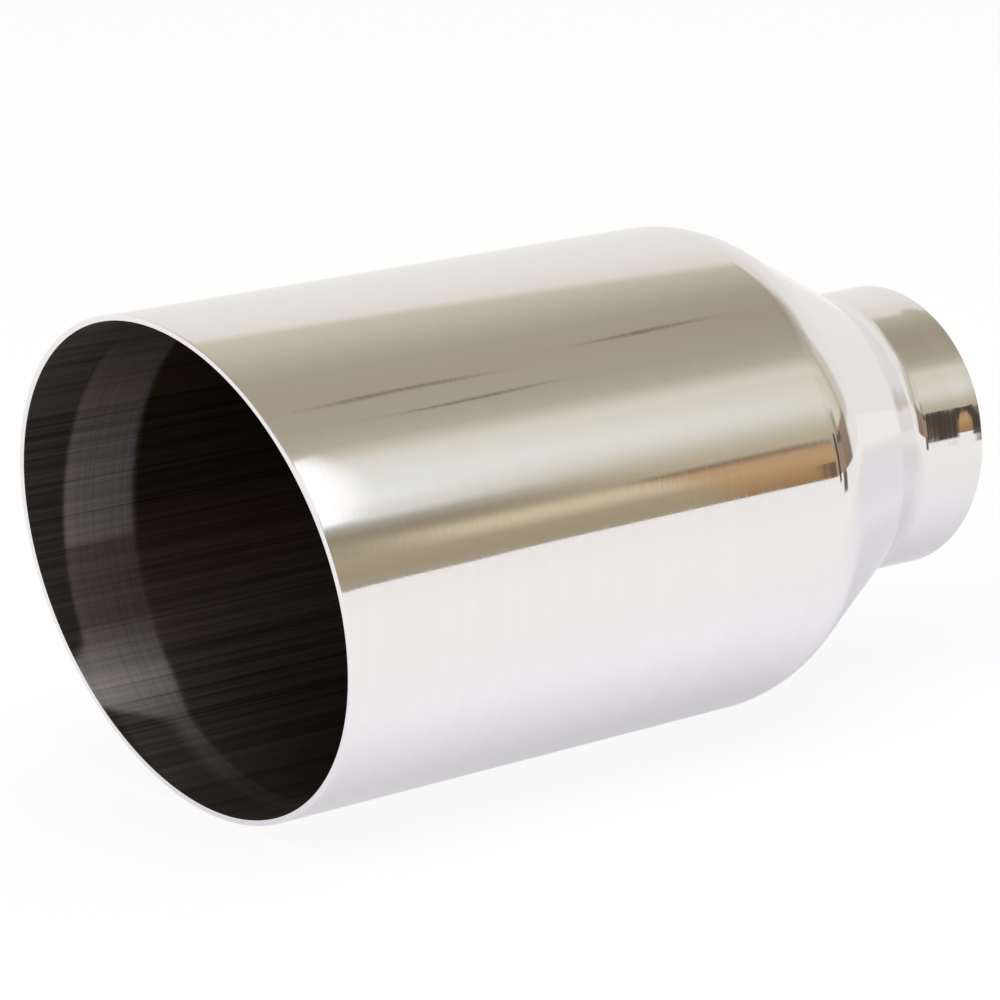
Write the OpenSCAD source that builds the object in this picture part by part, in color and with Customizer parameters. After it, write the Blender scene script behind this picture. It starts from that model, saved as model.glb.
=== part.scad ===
// Slant-cut exhaust tip, spun from one piece of stainless steel tube, in millimetres.
// The barrel keeps the full diameter of the tube. Behind it the sheet closes in over a rounded
// shoulder and a short cone, and sweeps out again into a straight inlet that takes the tailpipe.
// The axis lies along X, with the mouth towards -X and the top of the tip towards +Z, as it is
// fitted to a car. The origin is the middle of the inlet's open end.

/* [Barrel] */
// Outside diameter of the barrel
barrel_d = 101.6; // [92:0.1:127]
// Length of the barrel on its axis, from the middle of the mouth to the start of the shoulder
barrel_len = 126; // [50:0.5:250]
// Thickness of the sheet, the same all over
wall_t = 1.2; // [0.8:0.1:2]

/* [Mouth] */
// Slant of the mouth from a square cut, which leaves the top longer than the bottom
mouth_slant = 9.5; // [0:0.5:25]

/* [Shoulder and cone] */
// Outside radius of the bend from the barrel into the cone
shoulder_r = 22.5; // [6:0.5:32]
// Angle of the cone's side from the axis
cone_angle = 28; // [22:0.5:32]

/* [Inlet] */
// Inside diameter of the inlet, which slides over the tailpipe
inlet_bore_d = 58; // [45:0.1:60]
// Length of the straight part of the inlet, which holds the tailpipe
inlet_len = 16; // [6:0.5:40]
// Outside radius of the hollow bend from the cone into the inlet
inlet_bend_r = 12; // [4:0.5:40]

/* [Hidden] */
$fn = 120;

barrel_r = barrel_d / 2;
inlet_r = inlet_bore_d / 2 + wall_t;
half_turn = cone_angle / 2;

// Places on the axis, measured from the inlet's end towards the mouth. A corner is where two
// straight sides of the outside would meet if the bend between them were sharp.
inlet_corner = inlet_len + inlet_bend_r * tan(half_turn);
shoulder_corner = inlet_corner + (barrel_r - inlet_r) / tan(cone_angle);
shoulder_start = shoulder_corner + shoulder_r * tan(half_turn);
mouth_mid = shoulder_start + barrel_len;
mouth_top = mouth_mid + barrel_r * tan(mouth_slant);

// How far one shape reaches past the face that it cuts
over = 5;

// What lies between a corner and the arc of radius r that touches both of its sides. The corner
// is at the origin, one side runs up the axis and the other turns away from it by cone_angle.
module inside_of_corner(r) {
    side = r * tan(half_turn);
    difference() {
        polygon([
            [0, 0],
            [0, side],
            [-r, side],
            [-side * sin(cone_angle), -side * cos(cone_angle)]
        ]);
        translate([-r, side]) circle(r);
    }
}

// Half section of all that lies within a face which runs inset below the outside, as radius
// against height. The corners of a deeper face move up the axis. Its convex bend gets tighter
// and its hollow bend wider by the inset, so the sheet is equally thick round both of them.
module within_face(inset, past_ends) {
    shift = inset * tan(half_turn);
    wide = [barrel_r - inset, shoulder_corner + shift];
    narrow = [inlet_r - inset, inlet_corner + shift];
    top = mouth_top + over + past_ends;
    difference() {
        union() {
            polygon([
                [0, -past_ends],
                [narrow[0], -past_ends],
                narrow,
                wide,
                [wide[0], top],
                [0, top]
            ]);
            translate(narrow) rotate(180) inside_of_corner(inlet_bend_r + inset);
        }
        translate(wide) inside_of_corner(shoulder_r - inset);
    }
}

// Section of the sheet, still square at the mouth
module sheet_section() {
    difference() {
        within_face(0, 0);
        within_face(wall_t, over);
    }
}

// All that lies in front of the slanted mouth
module front_of_mouth() {
    reach = 3 * barrel_d;
    translate([-mouth_mid, 0, 0])
        rotate([0, -mouth_slant, 0])
            translate([-reach, -reach / 2, -reach / 2])
                cube(reach);
}

// The whole tip, with the mouth cut on its slant
module tip_shell() {
    color("silver")
        difference() {
            rotate([0, -90, 0]) rotate_extrude() sheet_section();
            front_of_mouth();
        }
}

tip_shell();
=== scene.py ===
"""Looks of the slant-cut exhaust tip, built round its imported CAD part.

The tip is one sheet of stainless steel, spun into a barrel, a rounded shoulder, a cone and a short
inlet. One fine mesh stands for the CAD part, with its exact sizes and lightly broken edges. The
polished outside shows the room that it stands in, so the room is made of plain panels that only
reflections see. Lengths are in metres, in the part's frame: mouth towards -X, top towards +Z.
"""

import logging
import math
from dataclasses import dataclass, field
from enum import Enum

import bpy
import numpy as np
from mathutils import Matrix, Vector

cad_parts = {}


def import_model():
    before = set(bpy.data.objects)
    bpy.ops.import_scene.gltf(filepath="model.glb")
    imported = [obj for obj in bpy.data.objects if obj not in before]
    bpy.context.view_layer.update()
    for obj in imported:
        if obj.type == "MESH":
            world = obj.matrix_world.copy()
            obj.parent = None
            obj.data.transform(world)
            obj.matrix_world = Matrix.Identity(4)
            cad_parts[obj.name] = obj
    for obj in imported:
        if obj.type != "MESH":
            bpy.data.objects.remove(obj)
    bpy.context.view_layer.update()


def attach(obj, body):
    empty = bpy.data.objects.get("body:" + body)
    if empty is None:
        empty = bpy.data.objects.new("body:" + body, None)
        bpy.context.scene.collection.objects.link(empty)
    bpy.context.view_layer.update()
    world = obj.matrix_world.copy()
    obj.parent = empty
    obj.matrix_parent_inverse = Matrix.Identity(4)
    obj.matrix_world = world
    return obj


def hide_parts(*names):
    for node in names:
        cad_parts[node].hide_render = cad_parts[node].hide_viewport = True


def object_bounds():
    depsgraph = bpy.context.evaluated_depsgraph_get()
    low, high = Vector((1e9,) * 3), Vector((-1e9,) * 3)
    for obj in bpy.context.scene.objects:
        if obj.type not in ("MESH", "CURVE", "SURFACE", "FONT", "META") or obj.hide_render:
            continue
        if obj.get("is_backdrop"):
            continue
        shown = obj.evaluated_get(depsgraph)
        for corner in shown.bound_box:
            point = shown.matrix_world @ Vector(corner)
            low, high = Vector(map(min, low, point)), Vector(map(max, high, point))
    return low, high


LOG = logging.getLogger("exhaust_tip")
MM = 0.001
WHITE = (1.0, 1.0, 1.0, 1.0)

# Place and sRGB hex of each stop along a colour ramp, in rising order
Stops = tuple[tuple[float, str], ...]


def linear(colour: str) -> tuple[float, float, float, float]:
    """Turns a colour written as sRGB hex into linear red, green, blue and alpha.

    Args:
        colour: Six hex digits after a hash.

    Returns:
        The linear colour, with an alpha of 1.
    """
    srgb = [int(colour[i : i + 2], 16) / 255 for i in (1, 3, 5)]
    # The sRGB curve is straight near black, and a power of 2.4 above that.
    parts = [c / 12.92 if c <= 0.04045 else ((c + 0.055) / 1.055) ** 2.4 for c in srgb]
    return parts[0], parts[1], parts[2], 1.0


def add_node(
    tree: bpy.types.NodeTree,
    kind: str,
    inputs: dict[str | int, object] | None = None,
    stops: Stops = (),
    **settings: object,
) -> bpy.types.Node:
    """Adds a node to a tree, with its settings and links.

    Args:
        tree: The node tree to add to.
        kind: Blender's name of the node's type.
        inputs: For each input that isn't left at its default, its value, or the socket that
            feeds it, or the node whose first socket in use feeds it.
        stops: The stops of a colour ramp.
        **settings: The node's own properties.

    Returns:
        The new node.
    """
    node = tree.nodes.new(kind)
    for name, value in settings.items():
        setattr(node, name, value)
    if stops:
        ramp = node.color_ramp.elements
        ramp.remove(ramp[1])
        for order, (place, colour) in enumerate(stops):
            stop = ramp.new(place) if order else ramp[0]
            stop.position = place
            stop.color = linear(colour)
    for socket, value in (inputs or {}).items():
        if isinstance(value, bpy.types.Node):
            value = next(out for out in value.outputs if out.enabled)
        if isinstance(value, bpy.types.NodeSocket):
            tree.links.new(value, node.inputs[socket])
        else:
            node.inputs[socket].default_value = value
    return node


def new_material(name: str) -> tuple[bpy.types.Material, bpy.types.NodeTree]:
    """Makes an empty node material.

    Args:
        name: The material's name.

    Returns:
        The material and its tree.
    """
    material = bpy.data.materials.new(name)
    material.use_nodes = True
    material.node_tree.nodes.clear()
    return material, material.node_tree


@dataclass(frozen=True)
class Levels:
    """What a value turns into as it passes from a low level to a high one."""

    low: float
    high: float
    before: float = 0.0
    after: float = 1.0

    def of(self, value: object) -> dict[str | int, object]:
        """Gives the inputs of the Map Range node that turns a value this way."""
        ends = {"From Min": self.low, "From Max": self.high}
        return {"Value": value, **ends, "To Min": self.before, "To Max": self.after}


# The setting of a Map Range node that eases in and out between its levels
EASED = {"interpolation_type": "SMOOTHSTEP"}


@dataclass(frozen=True)
class Lines:
    """A noise in the object's place, stretched into lines, with features to the metre by axis."""

    scale: tuple[float, float, float]
    detail: float

    def draw(self, tree: bpy.types.NodeTree) -> bpy.types.Node:
        """Adds the pattern to a tree.

        Args:
            tree: The node tree to add to.

        Returns:
            The node that gives the noise, around 0.5.
        """
        place = add_node(tree, "ShaderNodeTexCoord").outputs["Object"]
        lines = add_node(tree, "ShaderNodeMapping", {"Vector": place, "Scale": self.scale})
        noise = {"Vector": lines, "Scale": 1.0, "Detail": self.detail, "Roughness": 0.6}
        return add_node(tree, "ShaderNodeTexNoise", noise)


def grid_object(name: str, points: np.ndarray, wrap: bool) -> bpy.types.Object:
    """Makes a mesh object from a grid of points.

    Args:
        name: Name of the object and its mesh.
        points: Places of the grid's points, rows by columns by three.
        wrap: Whether the last row meets the first, and the last column the first.

    Returns:
        The linked object, with its quads in row order.
    """
    rows, cols = points.shape[:2]
    index = np.arange(rows * cols).reshape(rows, cols)
    if wrap:
        down, right = np.roll(index, -1, 0), np.roll(index, -1, 1)
        across = np.roll(down, -1, 1)
        quads = np.stack([index, down, across, right], -1)
    else:
        quads = np.stack([index[:-1, :-1], index[1:, :-1], index[1:, 1:], index[:-1, 1:]], -1)
    mesh = bpy.data.meshes.new(name)
    mesh.from_pydata(points.reshape(-1, 3), [], quads.reshape(-1, 4))
    mesh.shade_smooth()
    shape = bpy.data.objects.new(name, mesh)
    bpy.context.scene.collection.objects.link(shape)
    return shape


@dataclass(frozen=True)
class PolishedSteel:
    """Stainless steel polished round the axis, nearly a mirror with faint lines round the tip."""

    colour: str = "#eeecec"
    # The wheel's lines, one to each 0.8 mm of X and 110 mm long, drawn coarser than they are so
    # that they show
    grain: Lines = Lines((1300.0, 9.0, 9.0), 3.0)
    roughness: Levels = Levels(0.35, 0.65, 0.027, 0.072)
    groove_strength: float = 0.16
    groove_depth: float = 0.01 * MM
    # Bands 2.4 mm wide that the wheel left a trace darker
    bands: Lines = Lines((420.0, 6.0, 6.0), 3.0)
    band_tint: Levels = Levels(0.3, 0.7, 0.985, 1.0)

    def build(self) -> bpy.types.Material:
        """Builds the material.

        Returns:
            The material.
        """
        material, tree = new_material("polished_stainless_steel")
        grain = self.grain.draw(tree)
        bands = add_node(
            tree, "ShaderNodeMapRange", self.band_tint.of(self.bands.draw(tree)), **EASED
        )
        tint = add_node(
            tree,
            "ShaderNodeVectorMath",
            {"Vector": linear(self.colour)[:3], "Scale": bands},
            operation="SCALE",
        )
        grooves = {
            "Height": grain,
            "Strength": self.groove_strength,
            "Distance": self.groove_depth,
        }
        steel = add_node(
            tree,
            "ShaderNodeBsdfPrincipled",
            {
                "Base Color": tint,
                "Metallic": 1.0,
                "Roughness": add_node(tree, "ShaderNodeMapRange", self.roughness.of(grain)),
                "Normal": add_node(tree, "ShaderNodeBump", grooves),
            },
        )
        add_node(tree, "ShaderNodeOutputMaterial", {"Surface": steel})
        return material


@dataclass(frozen=True)
class CutSteel:
    """Stainless steel at the cut edges, dressed smooth but not polished, so it is satin."""

    colour: str = "#f1eef0"
    roughness: float = 0.22

    def build(self) -> bpy.types.Material:
        """Builds the material.

        Returns:
            The material.
        """
        material, tree = new_material("cut_stainless_steel")
        surface = {
            "Base Color": linear(self.colour),
            "Metallic": 1.0,
            "Roughness": self.roughness,
        }
        steel = add_node(tree, "ShaderNodeBsdfPrincipled", surface)
        add_node(tree, "ShaderNodeOutputMaterial", {"Surface": steel})
        return material


@dataclass(frozen=True)
class DrawnSteel:
    """The dull inside of the tube, with the long dark lines that drawing it left.

    A ring just inside the mouth was ground round the tube, so it scatters more light. The ramps
    run with the angle round the axis, from 0 straight down over the far side to 1 straight up.
    They paint light and shade: the wall is lighter low on the far side and darker towards the
    bottom and above the middle, and the ring carries a painted highlight.
    """

    # Painted light and shade: lighter low on the far side, darker at the bottom and upwards
    wall: Stops = (
        (0.05, "#605c52"),
        (0.14, "#7f796e"),
        (0.26, "#968b7c"),
        (0.33, "#a49683"),
        (0.39, "#928170"),
        (0.445, "#806d5e"),
        (0.51, "#574c3e"),
        (0.61, "#504631"),
    )
    lip: str = "#706b64"
    lip_blur: float = 1 * MM
    # Painted highlight on the ring: brightest low on the far side, lighter again near the middle
    ring: Stops = (
        (0.05, "#48433c"),
        (0.14, "#6b6960"),
        (0.21, "#959188"),
        (0.27, "#c8c1ba"),
        (0.325, "#979089"),
        (0.36, "#786c65"),
        (0.457, "#7e6f6a"),
        (0.465, "#a29a99"),
        (0.53, "#9a9191"),
        (0.61, "#817978"),
        (0.69, "#6b635f"),
        (0.78, "#4f4a45"),
    )
    ring_near: float = -180.9 * MM
    ring_deep: float = -163.8 * MM
    # How much deeper the ring starts at the bottom, and which share of that its end keeps
    late: Levels = Levels(0.19, 0.275, 11 * MM, 0.0)
    late_share: float = 0.15
    # How much nearer the mouth it starts just above that
    early_rise: Levels = Levels(0.2, 0.27)
    early_fall: Levels = Levels(0.28, 0.345, 9 * MM, 0.0)
    # How wide its edges blur: the near one by the angle, and the deep one evenly
    near_blur: Levels = Levels(0.29, 0.37, 4 * MM, 1 * MM)
    deep_blur: float = 1.6 * MM
    # Drawing lines run along the axis: 1.1 mm wide and 250 mm long, with finer ones in them
    grain: Lines = Lines((4.0, 900.0, 900.0), 5.0)
    grain_on_wall: Levels = Levels(0.32, 0.68, 0.68, 1.3)
    grain_on_ring: Levels = Levels(0.32, 0.68, 0.82, 1.12)
    groove_strength: float = 0.5
    groove_depth: float = 0.05 * MM
    # A few scratches among them, 0.7 mm wide and 140 mm long
    scratches: Lines = Lines((7.0, 1500.0, 1500.0), 1.0)
    scratch_tint: Levels = Levels(0.28, 0.36, 0.6, 1.0)
    # The ring's grinding lines run round the tube, 0.5 mm wide and 70 mm long
    rub: Lines = Lines((2200.0, 14.0, 14.0), 3.0)
    rub_tint: Levels = Levels(0.3, 0.7, 0.88, 1.1)
    # How metallic the wall and the ring are: a dull film on the steel scatters the rest
    metallic: Levels = Levels(0.0, 1.0, 0.75, 0.3)
    roughness: float = 0.3

    def ring_mask(
        self, tree: bpy.types.NodeTree, along: bpy.types.NodeSocket, around: bpy.types.Node
    ) -> bpy.types.Node:
        """Adds the mask of the ground ring, which is uneven towards the bottom.

        Args:
            tree: The node tree to add to.
            along: The socket with the place along X.
            around: The node with the place on the ramps.

        Returns:
            The node with the mask, from 0 to 1.
        """
        late = add_node(tree, "ShaderNodeMapRange", self.late.of(around), **EASED)
        rises = add_node(tree, "ShaderNodeMapRange", self.early_rise.of(around), **EASED)
        falls = add_node(tree, "ShaderNodeMapRange", self.early_fall.of(around), **EASED)
        blur = add_node(tree, "ShaderNodeMapRange", self.near_blur.of(around), **EASED)
        early = add_node(tree, "ShaderNodeMath", {0: rises, 1: falls}, operation="MULTIPLY")
        # The mask starts where X has passed the near edge, moved, and is full a blur further.
        moved = add_node(tree, "ShaderNodeMath", {0: late, 1: early}, operation="SUBTRACT")
        left = add_node(tree, "ShaderNodeMath", {0: along, 1: moved}, operation="SUBTRACT")
        past = add_node(
            tree, "ShaderNodeMath", {0: left, 1: self.ring_near}, operation="SUBTRACT"
        )
        blurs = add_node(tree, "ShaderNodeMath", {0: past, 1: blur}, operation="DIVIDE")
        starts = add_node(tree, "ShaderNodeMapRange", Levels(-1.0, 1.0).of(blurs), **EASED)
        # It ends at the deep edge, which comes a little sooner where the ring starts late.
        short = add_node(
            tree, "ShaderNodeMath", {0: late, 1: self.late_share}, operation="MULTIPLY"
        )
        ahead = add_node(tree, "ShaderNodeMath", {0: along, 1: short}, operation="ADD")
        end = Levels(self.ring_deep - self.deep_blur, self.ring_deep + self.deep_blur, 1.0, 0.0)
        ends = add_node(tree, "ShaderNodeMapRange", end.of(ahead), **EASED)
        return add_node(tree, "ShaderNodeMath", {0: starts, 1: ends}, operation="MULTIPLY")

    def build(self) -> bpy.types.Material:
        """Builds the material.

        Returns:
            The material.
        """
        material, tree = new_material("drawn_stainless_steel")
        place = add_node(tree, "ShaderNodeTexCoord").outputs["Object"]
        axes = add_node(tree, "ShaderNodeSeparateXYZ", {0: place}).outputs
        angle = add_node(tree, "ShaderNodeMath", {0: axes[2], 1: axes[1]}, operation="ARCTAN2")
        half_turn = Levels(-math.pi / 2, math.pi / 2)
        around = add_node(tree, "ShaderNodeMapRange", half_turn.of(angle))
        grain = self.grain.draw(tree)
        dark = add_node(
            tree, "ShaderNodeMapRange", self.scratch_tint.of(self.scratches.draw(tree)), **EASED
        )
        # The wall's tint is painted light and shade that goes with the angle, apart from the lip
        # between the mouth and the ring.
        near = self.ring_near
        edge = Levels(near - self.lip_blur, near + self.lip_blur, 1.0, 0.0)
        lip = add_node(tree, "ShaderNodeMapRange", edge.of(axes[0]), **EASED)
        wall_light_and_shade = add_node(tree, "ShaderNodeValToRGB", {0: around}, stops=self.wall)
        wall = add_node(
            tree, "ShaderNodeMix", {0: lip, 6: wall_light_and_shade, 7: linear(self.lip)}, data_type="RGBA"
        )
        streaks = add_node(tree, "ShaderNodeMapRange", self.grain_on_wall.of(grain), **EASED)
        wall_lines = add_node(
            tree, "ShaderNodeMath", {0: streaks, 1: dark}, operation="MULTIPLY"
        )
        wall = add_node(
            tree, "ShaderNodeVectorMath", {"Vector": wall, "Scale": wall_lines}, operation="SCALE"
        )
        # The ring has its own tints by the angle, which carry a painted highlight, with grinding
        # lines across the worn drawing lines.
        rub = add_node(
            tree, "ShaderNodeMapRange", self.rub_tint.of(self.rub.draw(tree)), **EASED
        )
        worn = add_node(tree, "ShaderNodeMapRange", self.grain_on_ring.of(grain), **EASED)
        hatch = add_node(tree, "ShaderNodeMath", {0: rub, 1: worn}, operation="MULTIPLY")
        ring_lines = add_node(tree, "ShaderNodeMath", {0: hatch, 1: dark}, operation="MULTIPLY")
        mask = self.ring_mask(tree, axes[0], around)
        # The ring's tint by the angle is a painted highlight.
        ring = add_node(tree, "ShaderNodeValToRGB", {0: around}, stops=self.ring)
        ring = add_node(
            tree, "ShaderNodeVectorMath", {"Vector": ring, "Scale": ring_lines}, operation="SCALE"
        )
        grooves = {
            "Height": grain,
            "Strength": self.groove_strength,
            "Distance": self.groove_depth,
        }
        steel = add_node(
            tree,
            "ShaderNodeBsdfPrincipled",
            {
                "Base Color": add_node(
                    tree, "ShaderNodeMix", {0: mask, 6: wall, 7: ring}, data_type="RGBA"
                ),
                "Metallic": add_node(
                    tree, "ShaderNodeMapRange", self.metallic.of(mask), **EASED
                ),
                "Roughness": self.roughness,
                "Specular IOR Level": 0.0,
                "Normal": add_node(tree, "ShaderNodeBump", grooves),
            },
        )
        add_node(tree, "ShaderNodeOutputMaterial", {"Surface": steel})
        return material


class Face(Enum):
    """The three kinds of surface on the tip, by material slot."""

    OUTSIDE = 0
    CUT = 1
    INSIDE = 2


@dataclass(frozen=True)
class TipShell:
    """The whole tip: one sheet of steel, spun round the X axis and cut on a slant at the mouth."""

    barrel_r: float = 50.8 * MM
    barrel_len: float = 126 * MM
    wall: float = 1.2 * MM
    slant: float = math.radians(9.5)
    shoulder_r: float = 22.5 * MM
    cone: float = math.radians(28)
    inlet_r: float = 30.2 * MM
    inlet_len: float = 16 * MM
    bend_r: float = 12 * MM
    # The forming roll left the end of the neck wider by less than a tenth of a millimetre, which
    # only its mirror image shows: by this much up to one distance from the end, and by nothing
    # past another.
    flare: float = 0.09 * MM
    flare_from: float = 1.4 * MM
    flare_to: float = 7.8 * MM
    edge_r: float = 0.25 * MM
    edge_steps: int = 5
    # Steps in each bend, on the outside and on the inside, and columns round the axis
    outer_steps: int = 40
    inner_steps: int = 24
    columns: int = 312
    # The length of the inlet that is closely stepped, for its flare
    fine_len: float = 9 * MM
    # Where rows stand next to a bend and next to the mouth's edge, so that the straight parts
    # shade straight, and where they stand on the cone, as shares of its length
    close_rows: tuple[float, float, float] = (0.3 * MM, 0.9 * MM, 2 * MM)
    last_row: float = 0.8 * MM
    cone_rows: tuple[float, ...] = (0.02, 0.06, 0.25, 0.5, 0.75, 0.94, 0.98)
    outside: PolishedSteel = field(default_factory=PolishedSteel)
    cut: CutSteel = field(default_factory=CutSteel)
    inside: DrawnSteel = field(default_factory=DrawnSteel)

    @property
    def shoulder_start(self) -> float:
        """Distance from the inlet's end at which the barrel begins.

        Returns:
            The distance. Each bend reaches its radius times the tangent of half the cone's angle
            past its corner.
        """
        tan_half = math.tan(self.cone / 2)
        corners = self.inlet_len + (self.bend_r + self.shoulder_r) * tan_half
        return corners + (self.barrel_r - self.inlet_r) / math.tan(self.cone)

    def inlet_rows(self, inset: float, steps: int) -> np.ndarray:
        """Section of the straight inlet with its flare, closely stepped over the flare.

        Args:
            inset: How deep the face lies below the outside.
            steps: Number of points over the flare.

        Returns:
            Distance from the inlet's end and radius of each point, in rows.
        """
        close, later, far = self.close_rows
        height = np.concatenate(
            [
                np.linspace(self.edge_r, self.fine_len, steps),
                np.linspace(self.fine_len + 1 * MM, self.inlet_len - far, 4),
                self.inlet_len - np.array([later, close]),
            ]
        )
        out = np.clip((self.flare_to - height) / (self.flare_to - self.flare_from), 0, 1)
        radius = self.inlet_r - inset + self.flare * out**2 * (3 - 2 * out)
        return np.stack([height, radius], 1)

    def face(self, inset: float, steps: int) -> np.ndarray:
        """Section of one face of the sheet, from the inlet's end to the middle of the mouth.

        Straight inlet, hollow bend about a centre outside the sheet, cone, rounded shoulder about
        a centre inside it, barrel. Each bend is an arc through the cone's angle.

        Args:
            inset: How deep the face lies below the outside.
            steps: Number of steps in each bend.

        Returns:
            Distance from the inlet's end and radius of each point, in rows.
        """
        turn = np.linspace(0, self.cone, steps + 1)
        hollow, bulge = self.bend_r + inset, self.shoulder_r - inset
        start, end = self.shoulder_start, self.shoulder_start + self.barrel_len
        bend = np.stack(
            [
                self.inlet_len + hollow * np.sin(turn),
                self.inlet_r + self.bend_r - hollow * np.cos(turn),
            ],
            1,
        )
        shoulder = np.stack(
            [
                start - bulge * np.sin(turn[::-1]),
                self.barrel_r - self.shoulder_r + bulge * np.cos(turn[::-1]),
            ],
            1,
        )
        side = np.array(self.cone_rows)[:, None]
        cone = bend[-1] * (1 - side) + shoulder[0] * side
        close, later, far = self.close_rows
        barrel_h = np.concatenate(
            [
                start + np.array([close, later]),
                np.linspace(start + far, end - far, steps),
                end - np.array([self.last_row, self.edge_r]),
            ]
        )
        barrel = np.stack([barrel_h, np.full(len(barrel_h), self.barrel_r - inset)], 1)
        return np.concatenate([self.inlet_rows(inset, steps), bend, cone, shoulder, barrel])

    def broken_edges(self, outer: np.ndarray, inner: np.ndarray, way: int) -> np.ndarray:
        """Section of a cut end: a flat between two small arcs.

        Args:
            outer: The outside face's last point before the cut.
            inner: The inside face's first point after it.
            way: 1 where the end faces away from the inlet, and -1 at the inlet.

        Returns:
            Points from the outer face to the inner one, without those two.
        """
        turn = np.linspace(0, math.pi / 2, self.edge_steps + 1)
        edge = self.edge_r
        out = np.stack(
            [outer[0] + way * edge * np.sin(turn), outer[1] - edge + edge * np.cos(turn)], 1
        )
        back = np.stack(
            [inner[0] + way * edge * np.cos(turn), inner[1] + edge - edge * np.sin(turn)], 1
        )
        middle = (out[-1:] + back[:1]) / 2
        return np.concatenate([out[1:], middle, back[:-1]])

    def section(self) -> tuple[np.ndarray, np.ndarray]:
        """Closed section of the sheet.

        Returns:
            Distance from the inlet's end and radius of each point, and the kind of surface from
            each point to the next.
        """
        outer = self.face(0.0, self.outer_steps)
        inner = self.face(self.wall, self.inner_steps)[::-1]
        mouth = self.broken_edges(outer[-1], inner[0], 1)
        inlet = self.broken_edges(outer[0], inner[-1], -1)[::-1]
        kinds = np.concatenate(
            [
                np.full(len(outer) - 1, Face.OUTSIDE.value),
                np.full(len(mouth) + 1, Face.CUT.value),
                np.full(len(inner) - 1, Face.INSIDE.value),
                np.full(len(inlet) + 1, Face.CUT.value),
            ]
        )
        return np.concatenate([outer, mouth, inner, inlet]), kinds

    def build(self) -> bpy.types.Object:
        """Builds the shell with its three finishes.

        Each point of the section goes round the X axis: Y and Z are its radius times the cosine
        and the sine of the turn. The barrel is stretched evenly to the slanted plane of the
        mouth, from nothing at the shoulder to the whole slant at the rim.

        Returns:
            The shell.
        """
        section, kinds = self.section()
        turn = np.linspace(0, 2 * math.pi, self.columns, endpoint=False)
        along, radius = section[:, :1], section[:, 1:]
        y, z = radius * np.cos(turn), radius * np.sin(turn)
        share = np.clip((along - self.shoulder_start) / self.barrel_len, 0, 1)
        x = -along - math.tan(self.slant) * z * share
        shell = grid_object("tip_shell_visual", np.stack([x, y, z], -1), wrap=True)
        for finish in (self.outside, self.cut, self.inside):
            shell.data.materials.append(finish.build())
        shell.data.polygons.foreach_set(
            "material_index", np.repeat(kinds, self.columns).astype(np.int32)
        )
        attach(shell, "root")
        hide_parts("tip_shell")
        size = self.barrel_r / MM
        LOG.info("tip shell: %d faces, outside radius %.1f mm", len(shell.data.polygons), size)
        return shell


@dataclass(frozen=True)
class RoomPanel:
    """A patch of the room round the tip, which only reflections see.

    Angles are in degrees as seen from the tip: azimuth from -Y towards +X, and elevation. The
    colours change smoothly from stop to stop, up the panel or across it. The fade is how far the
    panel thins out at its low and high azimuth and at its low and high elevation. The gain makes
    it brighter than its colours. The lean moves the azimuths by so many degrees for each degree
    of elevation above the lowest. A panel without a distance of its own stands far off.
    """

    name: str
    azimuth: tuple[float, float]
    elevation: tuple[float, float]
    stops: Stops
    fade: tuple[float, float, float, float] = (1.0, 1.0, 1.0, 1.0)
    across: bool = False
    gain: float = 1.0
    lean: float = 0.0
    distance: float = 0.0
    centre: tuple[float, float, float] = (0.0, 0.0, 0.0)


@dataclass(frozen=True)
class FloorShade:
    """A soft oval on the floor, centred on the X axis, that fades in or out with the distance.

    The squeeze shortens the distances along X. What comes of it is a share of light or colour.
    """

    centre: float
    squeeze: float
    fade: Levels

    def draw(self, tree: bpy.types.NodeTree, place: bpy.types.NodeSocket) -> bpy.types.Node:
        """Adds the oval to a tree.

        Args:
            tree: The node tree to add to.
            place: The socket with the place on the floor.

        Returns:
            The node with the share.
        """
        moved = (-self.centre * self.squeeze, 0, 0)
        inputs = {0: place, "Location": moved, "Scale": (self.squeeze, 1, 0)}
        oval = add_node(tree, "ShaderNodeMapping", inputs)
        away = add_node(tree, "ShaderNodeVectorMath", {0: oval}, operation="LENGTH")
        return add_node(tree, "ShaderNodeMapRange", self.fade.of(away), **EASED)


def blend_stops(places: np.ndarray, stops: Stops) -> np.ndarray:
    """Gives the linear colour at each place, between the nearest stops.

    Args:
        places: Where the colours are wanted, in the stops' own measure.
        stops: The stops.

    Returns:
        Four numbers for each place.
    """
    colours = np.array([linear(colour) for _, colour in stops])
    at = [place for place, _ in stops]
    return np.stack([np.interp(places, at, colours[:, k]) for k in range(4)], -1)


def room_paint() -> bpy.types.Material:
    """Makes the panels' paint, which glows with the tint and fade that a mesh carries.

    Returns:
        The material.
    """
    material, tree = new_material("room_paint")
    tint = add_node(tree, "ShaderNodeAttribute", attribute_name="tint")
    fade = add_node(tree, "ShaderNodeAttribute", attribute_name="fade")
    glow = add_node(tree, "ShaderNodeEmission", {"Color": tint, "Strength": 1.0})
    clear = add_node(tree, "ShaderNodeBsdfTransparent")
    both = add_node(tree, "ShaderNodeMixShader", {0: fade.outputs["Fac"], 1: clear, 2: glow})
    add_node(tree, "ShaderNodeOutputMaterial", {"Surface": both})
    # Only mirror-like rays look for the panels, so sampling them as lamps costs time in vain.
    material.cycles.emission_sampling = "NONE"
    return material


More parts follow.
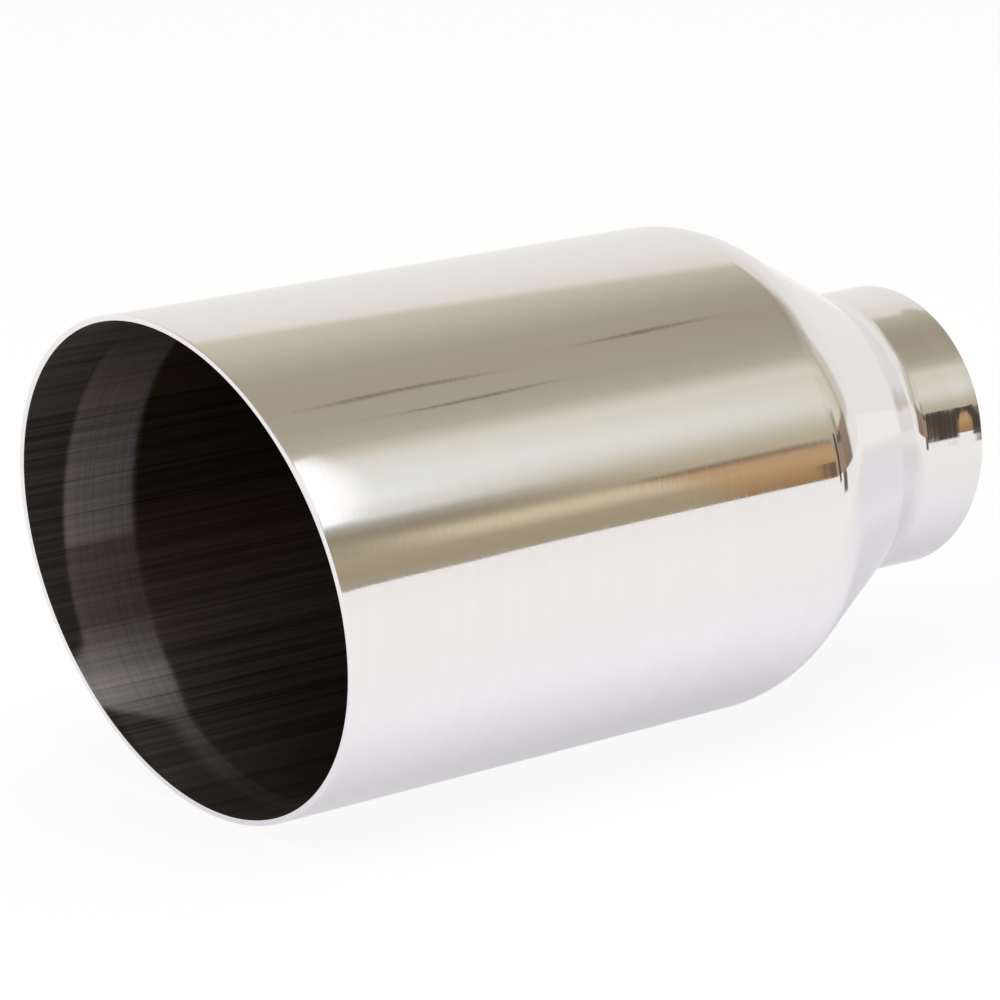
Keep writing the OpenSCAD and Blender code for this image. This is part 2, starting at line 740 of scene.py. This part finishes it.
@dataclass(frozen=True)
class Room:
    """The plain floor and the panels that stand for the room in the reflections."""

    # Height of the floor, its points round and out, and how far it reaches by azimuth: it ends
    # nearer on one side
    floor_z: float = -50.8 * MM
    floor_points: tuple[int, int] = (241, 9)
    floor_reach: tuple[tuple[float, float], ...] = ((24, 0.77), (33, 1.45), (37, 2.3), (42, 3.3))
    # Painted light, cool close to the tip and warm further out, where the room's light reaches it
    floor_near: str = "#f4f2f8"
    floor_far: str = "#f7f4f1"
    glow_near: str = "#fdfcff"
    glow_far: str = "#fcfaf8"
    warm: FloorShade = FloorShade(0.0, 0.2, Levels(0.04, 0.13))
    # Painted shadow darkens the floor under the neck and behind it.
    under_neck: FloorShade = FloorShade(0.045, 0.8, Levels(0.01, 0.06, 0.86, 1.0))
    behind_neck: FloorShade = FloorShade(0.3, 0.5, Levels(0.05, 0.2, 0.86, 1.0))
    # Share of even light on the floor: to the camera, and to the reflections by the distance
    seen_light: float = 0.9
    felt_light: Levels = Levels(0.08, 0.48, 0.42, 0.94)
    # The first panel's distance, how much closer each further one stands, and the points along
    # each of a panel's sides
    far: float = 30.0
    closer: float = 0.3
    panel_points: int = 81
    panels: tuple[RoomPanel, ...] = (
        RoomPanel(
            "back_wall",
            (66, 178),
            (-3, 70),
            (
                (-3, "#f2f0ee"),
                (3, "#f4f1ed"),
                (11, "#f0f1ef"),
                (28, "#f2efeb"),
                (36, "#eeebe4"),
            ),
            (10, 6, 1, 8),
        ),
        RoomPanel(
            "side_wall",
            (46, 88),
            (6, 41),
            ((60, "#dfdac9"), (67, "#dad4c3"), (72, "#c6bdab"), (76, "#d4cebf"), (82, "#d8d4c9")),
            (3, 6, 3, 8),
            across=True,
        ),
        RoomPanel(
            "far_wall",
            (8, 60),
            (-4, 26),
            (
                (-3, "#aca595"),
                (1, "#aa9c82"),
                (7, "#aea38a"),
                (12, "#a39881"),
                (15, "#9a907b"),
                (17.5, "#aca79a"),
                (20, "#e0e2dd"),
            ),
            (1, 6, 1, 3),
        ),
        RoomPanel(
            "light_wall",
            (39.5, 55),
            (9, 34),
            (
                (11, "#bfb39b"),
                (15, "#c1b69f"),
                (19, "#cfcab8"),
                (22, "#dad5c6"),
                (30, "#e6e3d8"),
            ),
            (4, 4, 5, 4),
        ),
        RoomPanel("shelf", (37.5, 44), (4.5, 13.5), ((0, "#d6c8ac"),), (1.8, 1, 4.5, 4)),
        RoomPanel(
            "window",
            (20, 64),
            (17.5, 40),
            (
                (41, "#ffffff"),
                (42.5, "#fafcf8"),
                (44, "#eff2eb"),
                (47, "#edeee5"),
                (50, "#e6e4d9"),
                (54, "#dfdbcb"),
                (60, "#d6d0be"),
            ),
            (3, 6, 12, 3.5),
            across=True,
        ),
        RoomPanel(
            "basket",
            (41.6, 44.7),
            (-4, 13.4),
            ((-1, "#9c7c58"), (3, "#b48f67"), (7, "#c4a176"), (10, "#c19f7b"), (11.8, "#8d7965")),
            (0.6, 0.5, 1, 1.8),
        ),
        RoomPanel(
            "brown_chair", (55, 76), (-4, 13), ((-4, "#867665"), (12, "#a08c7a")), (2, 6, 1, 2)
        ),
        RoomPanel(
            "brown_seat",
            (46.2, 60),
            (-4, 11),
            ((-1, "#a38f7c"), (4, "#a08b76"), (10, "#a3907c")),
            (0.6, 1.5, 1.5, 1.5),
        ),
        RoomPanel(
            "dark_leg",
            (51, 59.5),
            (-7.4, 1.5),
            ((-7, "#80746b"), (-4, "#6f6259"), (1, "#6f6259")),
            (2.5, 2.5, 1.4, 2),
            distance=0.4,
            centre=(-0.055, -0.045, 0.0),
        ),
        RoomPanel(
            "dark_top",
            (50.5, 60),
            (9, 13.6),
            ((9, "#6b6158"),),
            (2.5, 2.5, 1.6, 1.6),
            distance=0.48,
            centre=(-0.05, -0.045, 0.0),
        ),
        RoomPanel(
            "post",
            (44.2, 46.9),
            (-3.9, 14.7),
            ((-4, "#4a413f"), (5, "#4c423f"), (13, "#4a4341")),
            (0.1, 0.3, 1.6, 0.8),
            distance=0.8,
            centre=(-0.012, -0.03, 0.0),
        ),
        RoomPanel(
            "dark_foot",
            (42.8, 44.7),
            (-1.2, 5.0),
            ((0, "#75604f"),),
            (0.25, 0.3, 0.6, 0.6),
            distance=0.25,
            centre=(-0.0645, -0.0499, 0.0095),
        ),
        RoomPanel(
            "mouth_light",
            (32, 43.2),
            (15.8, 44.5),
            ((20, "#ffffff"),),
            (2, 5.2, 2, 2),
            gain=1.2,
            lean=0.515,
            distance=0.15,
            centre=(-0.191, -0.044, 0.025),
        ),
    )
    # The ceiling is flat. A place on it is X and Y as shares of its height.
    ceiling_z: float = 12.0
    ceiling_points: tuple[int, int] = (141, 136)
    ceiling_x: tuple[float, float] = (-1.6, 1.9)
    ceiling_y: tuple[float, float] = (-0.9, 1.8)
    ceiling_stops: Stops = (
        (-0.9, "#e9e9df"),
        (-0.75, "#dad5c6"),
        (-0.6, "#bbb4a3"),
        (-0.4, "#afa795"),
        (-0.1, "#aba08e"),
        (0.1, "#aca491"),
        (0.3, "#bcb5a3"),
        (0.5, "#cac3b2"),
        (0.72, "#d3cdba"),
        (0.86, "#e4e0d5"),
        (1.05, "#ebe8e2"),
        (1.8, "#eeece7"),
    )
    # A band of it gets deeper towards +X, in step with X between the two limits round its place
    band_y: float = -0.1
    band_width: float = 0.35
    band_x: float = 0.95
    band_limits: tuple[float, float] = (-0.1, 0.2)
    band_depth: float = 0.5
    # How far it thins out in front, at the back and at the right end. Before that it thins out
    # slowly in front, and at the back, from one Y on and over a width of Y, fast along a slanted
    # line, down to a veil.
    thin_front: float = 0.12
    thin_back: float = 0.4
    thin_right: float = 0.2
    slow_reach: float = 0.8
    fast_from: float = 0.1
    fast_over: float = 0.35
    fast_line: tuple[float, float] = (1.28, 0.35)
    fast_reach: float = 0.1
    veil: float = 0.15
    # Thin dark lines just below the ceiling: start, middle and end of each, on the ceiling
    folds: tuple[tuple[tuple[float, float], ...], ...] = (
        ((0.767, -0.231), (0.787, -0.184), (0.823, -0.207)),
        ((0.838, -0.39), (0.86, -0.402), (0.887, -0.364)),
        ((0.862, -0.092), (0.873, -0.067), (0.9, -0.045)),
    )
    fold_points: tuple[int, int] = (41, 9)
    fold_colour: str = "#857c6b"
    fold_half_width: float = 0.018
    fold_drop: float = 0.1
    # The dark disc that stands for the unlit space behind the inlet's open end
    stop_colour: str = "#20160f"
    stop_points: tuple[int, int] = (65, 3)
    stop_r: float = 28.9 * MM
    stop_x: float = 0.5 * MM
    paint: bpy.types.Material = field(default_factory=room_paint)

    def build(self) -> None:
        """Builds the floor, the panels, the ceiling with its lines, and the dark disc."""
        self.build_floor()
        for order, panel in enumerate(self.panels):
            self.build_panel(panel, panel.distance or self.far - self.closer * order)
        self.build_ceiling()
        for order, fold in enumerate(self.folds):
            self.build_fold(f"room_fold_{order}", fold)
        self.build_stop()
        LOG.info("room: a floor, %d panels and a ceiling", len(self.panels))

    def dress_panel(self, panel: bpy.types.Object, tint: np.ndarray, fade: np.ndarray) -> None:
        """Gives a panel its colours and keeps it out of all but glossy rays.

        Args:
            panel: The panel's object.
            tint: Linear colour of each point, four numbers each.
            fade: How solid the panel is at each point, from 0 to 1.
        """
        mesh = panel.data
        colours = mesh.attributes.new("tint", "FLOAT_COLOR", "POINT")
        colours.data.foreach_set("color", tint.astype(np.float32).ravel())
        solid = mesh.attributes.new("fade", "FLOAT", "POINT")
        solid.data.foreach_set("value", fade.astype(np.float32).ravel())
        mesh.materials.append(self.paint)
        panel.visible_camera = False
        panel.visible_diffuse = False
        panel.visible_shadow = False
        panel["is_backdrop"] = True

    def build_panel(self, panel: RoomPanel, distance: float) -> None:
        """Builds one patch of a sphere round the tip.

        Args:
            panel: Where it is and how it looks.
            distance: The sphere's radius.
        """
        az, el = np.meshgrid(
            np.linspace(*panel.azimuth, self.panel_points),
            np.linspace(*panel.elevation, self.panel_points),
        )
        a = np.radians(az + panel.lean * (el - panel.elevation[0]))
        e = np.radians(el)
        ray = np.stack([np.sin(a) * np.cos(e), -np.cos(a) * np.cos(e), np.sin(e)], -1)
        # Solid in the middle, and gone within the fade's width of each edge.
        gaps = (
            az - panel.azimuth[0],
            panel.azimuth[1] - az,
            el - panel.elevation[0],
            panel.elevation[1] - el,
        )
        solid = np.ones_like(az)
        for gap, width in zip(gaps, panel.fade):
            part = np.clip(gap / width, 0, 1)
            solid *= part**2 * (3 - 2 * part)
        tint = panel.gain * blend_stops(az if panel.across else el, panel.stops)
        points = np.array(panel.centre) + distance * ray
        self.dress_panel(grid_object("room_" + panel.name, points, wrap=False), tint, solid)

    def build_ceiling(self) -> None:
        """Builds the flat ceiling, whose tint changes along Y and gets deeper towards +X."""
        columns, rows = self.ceiling_points
        u, v = np.meshgrid(
            np.linspace(*self.ceiling_x, columns), np.linspace(*self.ceiling_y, rows)
        )
        points = self.ceiling_z * np.stack([u, v, np.ones_like(u)], -1)
        tint = blend_stops(v, self.ceiling_stops)
        # The band is a bell along Y, and its depth goes with X.
        bell = np.exp(-(((v - self.band_y) / self.band_width) ** 2))
        depth = self.band_depth * np.clip(u - self.band_x, *self.band_limits)
        tint[..., :3] *= (1 - depth * bell)[..., None]
        # On the right it thins out into the pale wall, slowly in front and fast at the back.
        end = self.ceiling_x[1]
        line, lean = self.fast_line
        blend = np.clip((v - self.fast_from) / self.fast_over, 0, 1)
        slow = np.clip((end - u) / self.slow_reach, 0, 1)
        fast = np.clip((line - u - lean * v) / self.fast_reach, 0, 1)
        fast = self.veil + (1 - self.veil) * fast
        right = ((1 - blend) * slow + blend * fast) * np.clip((end - u) / self.thin_right, 0, 1)
        front = np.clip((v - self.ceiling_y[0]) / self.thin_front, 0, 1)
        back = np.clip((self.ceiling_y[1] - v) / self.thin_back, 0, 1)
        ceiling = grid_object("room_ceiling", points, wrap=False)
        self.dress_panel(ceiling, tint, right * front * back)

    def build_fold(self, name: str, places: tuple[tuple[float, float], ...]) -> None:
        """Builds one thin dark line: a curve through three places, with a width across it.

        The curve is a parabola, whose control point is twice the middle less the mean of the
        ends. The line is darkest on the curve and fades towards its sides and its ends.

        Args:
            name: Name of the object.
            places: The line's start, middle and end on the ceiling.
        """
        columns, rows = self.fold_points
        along, over = np.meshgrid(np.linspace(0, 1, columns), np.linspace(-1, 1, rows))
        first, middle, last = np.array(places)
        pull = 2 * middle - (first + last) / 2
        t = along[..., None]
        spine = first * (1 - t) ** 2 + 2 * pull * t * (1 - t) + last * t**2
        run = (pull - first) * (1 - t) + (last - pull) * t
        run /= np.linalg.norm(run, axis=-1, keepdims=True)
        side = np.stack([-run[..., 1], run[..., 0]], -1)
        flat = spine + self.fold_half_width * over[..., None] * side
        points = (self.ceiling_z - self.fold_drop) * np.concatenate([flat, np.ones_like(t)], -1)
        tint = np.broadcast_to(np.array(linear(self.fold_colour)), (*along.shape, 4))
        fade = (1 - over**2) * np.clip(5 * along * (1 - along), 0, 1)
        self.dress_panel(grid_object(name, points, wrap=False), tint, fade)

    def build_stop(self) -> None:
        """Builds the dark disc, a circle in rings about the X axis."""
        columns, rows = self.stop_points
        turn, out = np.meshgrid(np.linspace(0, 2 * math.pi, columns), np.linspace(0, 1, rows))
        radius = self.stop_r * out
        x = np.full_like(out, self.stop_x)
        points = np.stack([x, radius * np.cos(turn), radius * np.sin(turn)], -1)
        stop = grid_object("inlet_stop", points, wrap=False)
        tint = np.broadcast_to(np.array(linear(self.stop_colour)), (*out.shape, 4))
        self.dress_panel(stop, tint, np.ones_like(out))
        stop.visible_diffuse = True

    def floor_paint(self) -> bpy.types.Material:
        """Makes the floor's matte white paint.

        To the camera the floor is nearly as white as the backdrop, with a faint shadow. In the
        reflections a glow of painted light fills a part of the shadow under the tip, painted
        shadow darkens the floor under the neck and behind it, and a painted tint makes it cool
        near the tip and warm further out.

        Returns:
            The material.
        """
        material, tree = new_material("white_floor")
        place = add_node(tree, "ShaderNodeTexCoord").outputs["Object"]
        # Painted light, warm further out, and painted shadow under the neck and behind it
        far = self.warm.draw(tree, place)
        under = self.under_neck.draw(tree, place)
        behind = self.behind_neck.draw(tree, place)
        shade = add_node(tree, "ShaderNodeMath", {0: under, 1: behind}, operation="MULTIPLY")

        ground = {0: far, 6: linear(self.floor_near), 7: linear(self.floor_far)}
        ground = add_node(tree, "ShaderNodeMix", ground, data_type="RGBA")
        tint = {"Vector": ground, "Scale": shade}
        tint = add_node(tree, "ShaderNodeVectorMath", tint, operation="SCALE")
        matte = add_node(tree, "ShaderNodeBsdfDiffuse", {"Color": tint})

        glow = {0: far, 6: linear(self.glow_near), 7: linear(self.glow_far)}
        glow = add_node(tree, "ShaderNodeMix", glow, data_type="RGBA")
        lit = {"Vector": glow, "Scale": shade}
        lit = add_node(tree, "ShaderNodeVectorMath", lit, operation="SCALE")
        fill = add_node(tree, "ShaderNodeEmission", {"Color": lit, "Strength": 1.0})
        away = add_node(tree, "ShaderNodeVectorMath", {0: place}, operation="LENGTH")
        share = add_node(tree, "ShaderNodeMapRange", self.felt_light.of(away), **EASED)

        white = add_node(tree, "ShaderNodeEmission", {"Color": WHITE, "Strength": 1.0})
        seen = add_node(tree, "ShaderNodeMixShader", {0: self.seen_light, 1: matte, 2: white})
        felt = add_node(tree, "ShaderNodeMixShader", {0: share, 1: matte, 2: fill})
        to_camera = add_node(tree, "ShaderNodeLightPath").outputs["Is Camera Ray"]
        mix = add_node(tree, "ShaderNodeMixShader", {0: to_camera, 1: felt, 2: seen})
        add_node(tree, "ShaderNodeOutputMaterial", {"Surface": mix})
        return material

    def build_floor(self) -> None:
        """Builds the white floor, in rings out to its reach, which keeps the tip's shadow."""
        columns, rows = self.floor_points
        turn, out = np.meshgrid(
            np.linspace(-math.pi, math.pi, columns), np.linspace(0, 1, rows)
        )
        # The turn is an azimuth from -Y towards +X, like the panels'.
        reach = np.interp(np.degrees(turn), *zip(*self.floor_reach))
        z = np.full_like(out, self.floor_z)
        points = np.stack([out * reach * np.sin(turn), -out * reach * np.cos(turn), z], -1)
        floor = grid_object("floor", points, wrap=False)
        floor.data.materials.append(self.floor_paint())
        floor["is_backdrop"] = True


@dataclass(frozen=True)
class Daylight:
    """The plain soft light: a white world and one lamp above."""

    # Strength of the world for what isn't seen by the camera or in a mirror
    sky: float = 0.58
    lamp_size: float = 1.6
    lamp_watts: float = 22.0
    lamp_place: tuple[float, float, float] = (-0.4, -0.5, 1.7)
    lamp_tilt: tuple[float, float, float] = (math.radians(16), math.radians(-13), 0.0)

    def build(self) -> None:
        """Builds the world and the lamp."""
        self.build_world()
        self.build_lamp()
        LOG.info("light: sky at %.2f, one lamp of %.0f W", self.sky, self.lamp_watts)

    def build_world(self) -> None:
        """Makes the world white where it is seen, and plain soft light elsewhere."""
        world = bpy.data.worlds.new("world")
        world.use_nodes = True
        tree = world.node_tree
        tree.nodes.clear()
        rays = add_node(tree, "ShaderNodeLightPath")
        either = {0: rays.outputs["Is Camera Ray"], 1: rays.outputs["Is Glossy Ray"]}
        seen = add_node(tree, "ShaderNodeMath", either, operation="MAXIMUM")
        level = add_node(tree, "ShaderNodeMapRange", Levels(0.0, 1.0, self.sky, 1.0).of(seen))
        sky = add_node(tree, "ShaderNodeBackground", {"Color": WHITE, "Strength": level})
        add_node(tree, "ShaderNodeOutputWorld", {"Surface": sky})
        bpy.context.scene.world = world

    def build_lamp(self) -> None:
        """Hangs one soft lamp above, which mirrors don't show."""
        light = bpy.data.lights.new("soft_lamp", "AREA")
        light.shape = "DISK"
        light.size = self.lamp_size
        light.energy = self.lamp_watts
        lamp = bpy.data.objects.new("soft_lamp", light)
        lamp.location = self.lamp_place
        lamp.rotation_euler = self.lamp_tilt
        lamp.visible_glossy = False
        bpy.context.scene.collection.objects.link(lamp)
        lamp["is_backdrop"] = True


@dataclass(frozen=True)
class PhotoCamera:
    """The camera at the photo's place, with its angles in degrees and its lens in millimetres."""

    place: tuple[float, float, float] = (-0.69908, -0.68379, 0.22925)
    heading: float = -40.806
    dip: float = 14.173
    lens: float = 166.58
    sensor: float = 36.0

    def build(self) -> None:
        """Adds the camera and makes it the scene's."""
        data = bpy.data.cameras.new("photo_camera")
        data.lens = self.lens
        data.sensor_width = self.sensor
        camera = bpy.data.objects.new("photo_camera", data)
        camera.location = self.place
        camera.rotation_euler = (math.radians(90 - self.dip), 0, math.radians(self.heading))
        bpy.context.scene.collection.objects.link(camera)
        bpy.context.scene.camera = camera
        LOG.info("camera: lens %.0f mm, looking %.0f degrees down", self.lens, self.dip)


def corners() -> list[list[float]]:
    """Gives the lowest and highest corner of what is shown, as plain lists."""
    return [list(corner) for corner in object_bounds()]


def main() -> None:
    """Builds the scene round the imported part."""
    logging.basicConfig(level=logging.INFO, format="%(message)s")
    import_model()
    bpy.context.scene.view_settings.view_transform = "Standard"
    TipShell().build()
    Room().build()
    Daylight().build()
    PhotoCamera().build()
    bpy.context.view_layer.update()


if __name__ == "__main__":
    main()
